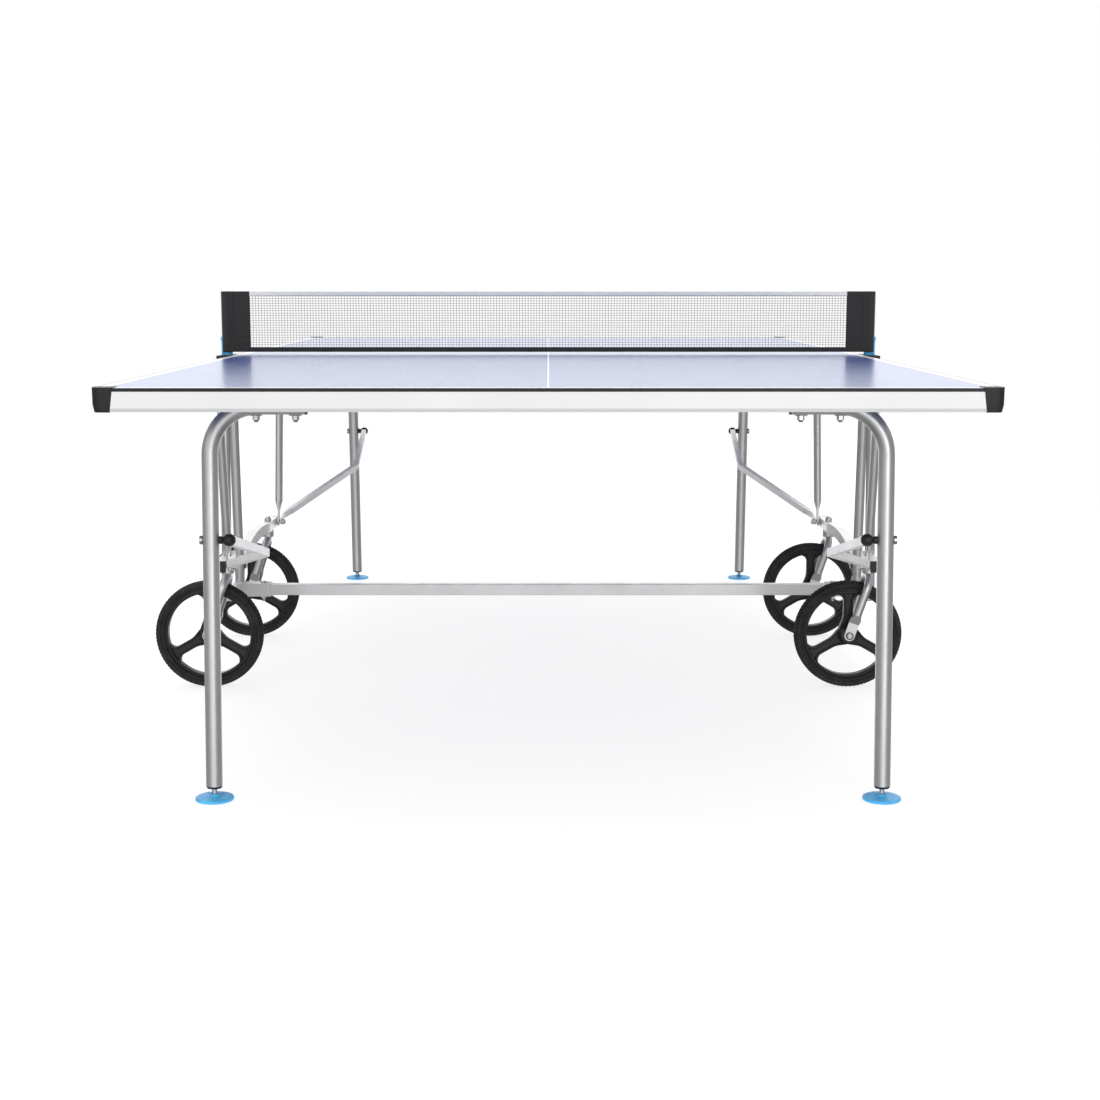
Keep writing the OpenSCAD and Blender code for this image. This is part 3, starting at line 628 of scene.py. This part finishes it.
def rim(corner):
    """A three spoke moulded rim: a hub, spokes with raised edges, and the felly ring."""
    place, outer, _ = wheel_place(corner)
    lo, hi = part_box(f"rim_{corner}")
    hub_half = (hi.y - lo.y) / 2
    felly_out, felly_in, hub_r = outer - 19.5 * MM, outer - 29 * MM, 24 * MM
    felly_half, bore = 12 * MM, 5.3 * MM
    builder = Builder()
    felly = [
        (felly_in, -felly_half + 2 * MM), (felly_in + 2 * MM, -felly_half),
        (felly_out - 4.5 * MM, -felly_half), (felly_out - 3.5 * MM, -felly_half + 1.2 * MM),
        (felly_out - 0.6 * MM, -felly_half + 2 * MM), (felly_out, -felly_half + 4.2 * MM),
    ]
    lathe(builder, both_faces(felly), 192, place)
    hub = [
        (bore, -hub_half), (hub_r - 6 * MM, -hub_half),
        (hub_r - 4.6 * MM, -hub_half + 1.4 * MM), (hub_r - 4 * MM, -felly_half - 1 * MM),
        (hub_r - 1 * MM, -felly_half + 0.5 * MM), (hub_r, -felly_half + 2 * MM),
    ]
    lathe(builder, both_faces(hub), 96, place)
    inner_r, outer_r = hub_r - 2 * MM, felly_in + 1.2 * MM
    # One face of a spoke's section: share of its half width, share of its half depth
    section = [
        (-1.0, 0.0), (-0.98, 0.72), (-0.90, 0.96), (-0.80, 1.0), (-0.62, 0.96), (-0.50, 0.50),
        (0.50, 0.50), (0.62, 0.96), (0.80, 1.0), (0.90, 0.96), (0.98, 0.72), (1.0, 0.0),
    ]
    for turn in range(3):
        middle = math.radians(90 + 120 * turn)
        rings = []
        for r in spread(inner_r, outer_r, 26):
            reach = spoke_edge(r, inner_r, outer_r)
            t = (r - inner_r) / (outer_r - inner_r)
            half = felly_half * (0.78 - 0.16 * math.sin(math.pi * t))
            ring = []
            for side in (1, -1):
                outline = section if side > 0 else section[::-1][1:-1]
                for u, v in outline:
                    a = middle + reach * u
                    ring.append(place(r * math.cos(a), r * math.sin(a), side * half * v))
            rings.append(ring)
        builder.ring_strip(rings)
    piece = add_piece(f"rim_body_{corner}", builder, f"wheel_{corner}", "black_wheel")
    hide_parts(f"rim_{corner}")
    soften(piece, 0.5 * MM, 35)


def fork_screws(corner):
    """Socket head screws at both ends of the axle, each in a dark ring on the fork."""
    place, _, _ = wheel_place(corner)
    centre, reach = place(0, 0, 0), 9 * MM
    node = frame["nodes"][f"fork_{corner}"]
    points = [node.matrix_world @ v.co - centre for v in node.data.vertices]
    end = max(abs(p.y) for p in points if math.hypot(p.x, p.z) < reach)
    builder, rings = Builder(), Builder()
    for side in (-1, 1):
        def outward(x, y, h):
            return place(x, side * y, side * h)

        lathe(builder, [
            (0.5 * MM, end - 1.5 * MM), (6.6 * MM, end - 1.5 * MM), (6.6 * MM, end + 1.2 * MM),
            (5.6 * MM, end + 2.2 * MM), (4.0 * MM, end + 2.2 * MM), (3.2 * MM, end + 1.6 * MM),
            (3.2 * MM, end - 0.6 * MM), (0.5 * MM, end - 0.6 * MM),
        ], 36, outward)
        lathe(rings, [
            (7.0 * MM, end - 1.5 * MM), (8.7 * MM, end - 1.5 * MM), (8.7 * MM, end + 0.5 * MM),
            (8.3 * MM, end + 0.9 * MM), (7.4 * MM, end + 0.9 * MM), (7.0 * MM, end + 0.5 * MM),
        ], 36, outward)
    add_piece(f"fork_screws_{corner}", builder, f"caster_{corner}", "zinc_steel")
    add_piece(f"fork_screw_rings_{corner}", rings, f"caster_{corner}", "black_plastic")


# ---- Feet ----


def foot(corner):
    """A moulded foot pad with faint rays on its top, and the threaded stud that stands in it."""
    lo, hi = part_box(f"foot_{corner}")
    centre = Vector(((lo.x + hi.x) / 2, (lo.y + hi.y) / 2, lo.z))
    outer = (hi.x - lo.x) / 2
    rays, ray_depth = 18, 0.45 * MM
    ray_start, ray_end, top_start = 12 * MM, outer - 2 * MM, 5 * MM

    def place(x, y, h):
        return centre + Vector((x, y, h))

    def pad_place(x, y, h):
        ray = 0.5 + 0.5 * math.cos(rays * math.atan2(y, x))
        radius = math.hypot(x, y)
        on_top = ray_start < radius < ray_end and h > top_start
        return place(x, y, h - (ray_depth * ray if on_top else 0))

    pad = Builder()
    lathe(pad, [
        (5.2 * MM, 1 * MM), (outer - 3 * MM, 0), (outer - 0.8 * MM, 0.5 * MM), (outer, 1.8 * MM),
        (outer, 4.2 * MM), (outer - 0.6 * MM, 5.4 * MM), (outer - 1.8 * MM, 6.0 * MM),
        (outer - 3.5 * MM, 6.3 * MM), (outer - 9 * MM, 7.2 * MM), (16 * MM, 7.6 * MM),
        (11.2 * MM, 7.8 * MM), (10.2 * MM, 8.4 * MM), (9.6 * MM, 9.4 * MM), (8.4 * MM, 11.4 * MM),
        (7.6 * MM, 12 * MM), (5.2 * MM, 12 * MM),
    ], 144, pad_place)
    piece = add_piece(f"foot_pad_{corner}", pad, f"foot_{corner}", "blue_plastic")
    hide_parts(f"foot_{corner}")

    stud = Builder()
    pitch, crest, root = 1.5 * MM, 4.95 * MM, 4.3 * MM
    start, top = 6 * MM, hi.z - lo.z
    turns = int((top - start - 2 * MM) / pitch)
    profile = [(1 * MM, start)]
    for k in range(turns):
        z = start + k * pitch
        profile += [(root, z), (crest, z + 0.45 * pitch), (crest, z + 0.6 * pitch)]
    profile += [(root, start + turns * pitch), (3.6 * MM, top), (1 * MM, top)]
    lathe(stud, profile, 40, place)
    add_piece(f"foot_stud_{corner}", stud, f"foot_{corner}", "zinc_steel")


# ---- Studio ----


def studio():
    """White paper on the floor, a bright front and back, darker sides, and soft lights."""
    half, front, back = 2.3, -9.0, 6.5
    mesh = bpy.data.meshes.new("floor")
    corners = [(-half, front, 0), (half, front, 0), (half, back, 0), (-half, back, 0)]
    mesh.from_pydata(corners, [], [(0, 1, 2, 3)])
    mesh.materials.append(floor_paint())
    floor = bpy.data.objects.new("floor", mesh)
    bpy.context.scene.collection.objects.link(floor)
    floor.visible_glossy = False

    world = bpy.data.worlds.new("studio")
    bpy.context.scene.world = world
    world.use_nodes = True
    tree = world.node_tree
    background = tree.nodes["Background"]
    coords = tree.nodes.new("ShaderNodeTexCoord")
    axes = tree.nodes.new("ShaderNodeSeparateXYZ")
    tree.links.new(coords.outputs["Generated"], axes.inputs["Vector"])

    def step(operation, *values):
        node = tree.nodes.new("ShaderNodeMath")
        node.operation = operation
        for socket, value in zip(node.inputs, values):
            if isinstance(value, float):
                socket.default_value = value
            else:
                tree.links.new(value, socket)
        return node.outputs["Value"]

    # Bright ahead and behind, dark at the sides and underneath, so that the metal shows its form
    front_glow, side_glow, under_glow = 1.00, 0.26, 0.22
    side_start, side_end, under_start, under_end = 0.26, 0.66, -0.20, -0.60
    back_boost, overhead_glow = 0.55, 0.15
    aside = step("ABSOLUTE", axes.outputs["X"])
    ramp = map_range(tree, aside, side_start, side_end, front_glow, side_glow)
    below = map_range(tree, axes.outputs["Z"], under_start, under_end, 1.00, under_glow)
    behind = step("MULTIPLY_ADD", step("MAXIMUM", axes.outputs["Y"], 0.0), back_boost, 1.0)
    overhead = step("MAXIMUM", axes.outputs["Z"], 0.0)
    level = step("MULTIPLY", ramp, step("MULTIPLY", behind, below))
    glow = step("MULTIPLY_ADD", overhead, overhead_glow, level)
    # The camera itself sees plain white
    seen = tree.nodes.new("ShaderNodeLightPath").outputs["Is Camera Ray"]
    strength = step("MULTIPLY_ADD", seen, step("SUBTRACT", 1.0, glow), glow)
    tree.links.new(strength, background.inputs["Strength"])
    background.inputs["Color"].default_value = (1, 1, 1, 1)

    def area(name, place, target, size, power):
        light = bpy.data.lights.new(name, "AREA")
        light.shape = "RECTANGLE"
        light.size, light.size_y = size
        light.energy = power
        lamp = bpy.data.objects.new(name, light)
        bpy.context.scene.collection.objects.link(lamp)
        lamp.location = place
        aim = Vector(target) - Vector(place)
        lamp.rotation_euler = aim.to_track_quat("-Z", "Y").to_euler()

    area("key", (1.7, -5.8, 1.6), (0, -0.6, 0.5), (2.4, 3.0), 34)
    area("fill", (-4.0, -4.2, 2.6), (0, -0.3, 0.5), (2.5, 3.0), 20)
    area("top", (0, 0.5, 5.5), (0, 0, 0), (5.0, 5.0), 70)


def camera():
    """The viewing angle: low and straight on, just above the table's end."""
    distance, height, pitch_down = 4.268, 0.934, 8.76
    view = bpy.data.cameras.new("camera")
    view.lens = 56.85
    view.sensor_width = 36
    view.shift_x = 0.0016
    view.clip_end = 200
    eye = bpy.data.objects.new("camera", view)
    bpy.context.scene.collection.objects.link(eye)
    eye.location = (0, -distance, height)
    eye.rotation_euler = (math.radians(90 - pitch_down), 0, 0)
    bpy.context.scene.camera = eye
    bpy.context.scene.view_settings.view_transform = "Standard"


dress_frame()
net_strands()
cloth_rng = random.Random(5)
folded_cloth(
    "net_tape_cover", tape_lo, tape_hi, 3.0 * MM, "lower", "white_tape", "net_tape", cloth_rng
)
folded_cloth(
    "net_band_cover", band_lo, band_hi, 1.6 * MM, "upper", "black_fabric", "net_band", cloth_rng
)
net_sleeves()
for corner in CORNERS:
    tyre(corner)
    rim(corner)
    fork_screws(corner)
    foot(corner)
studio()
camera()
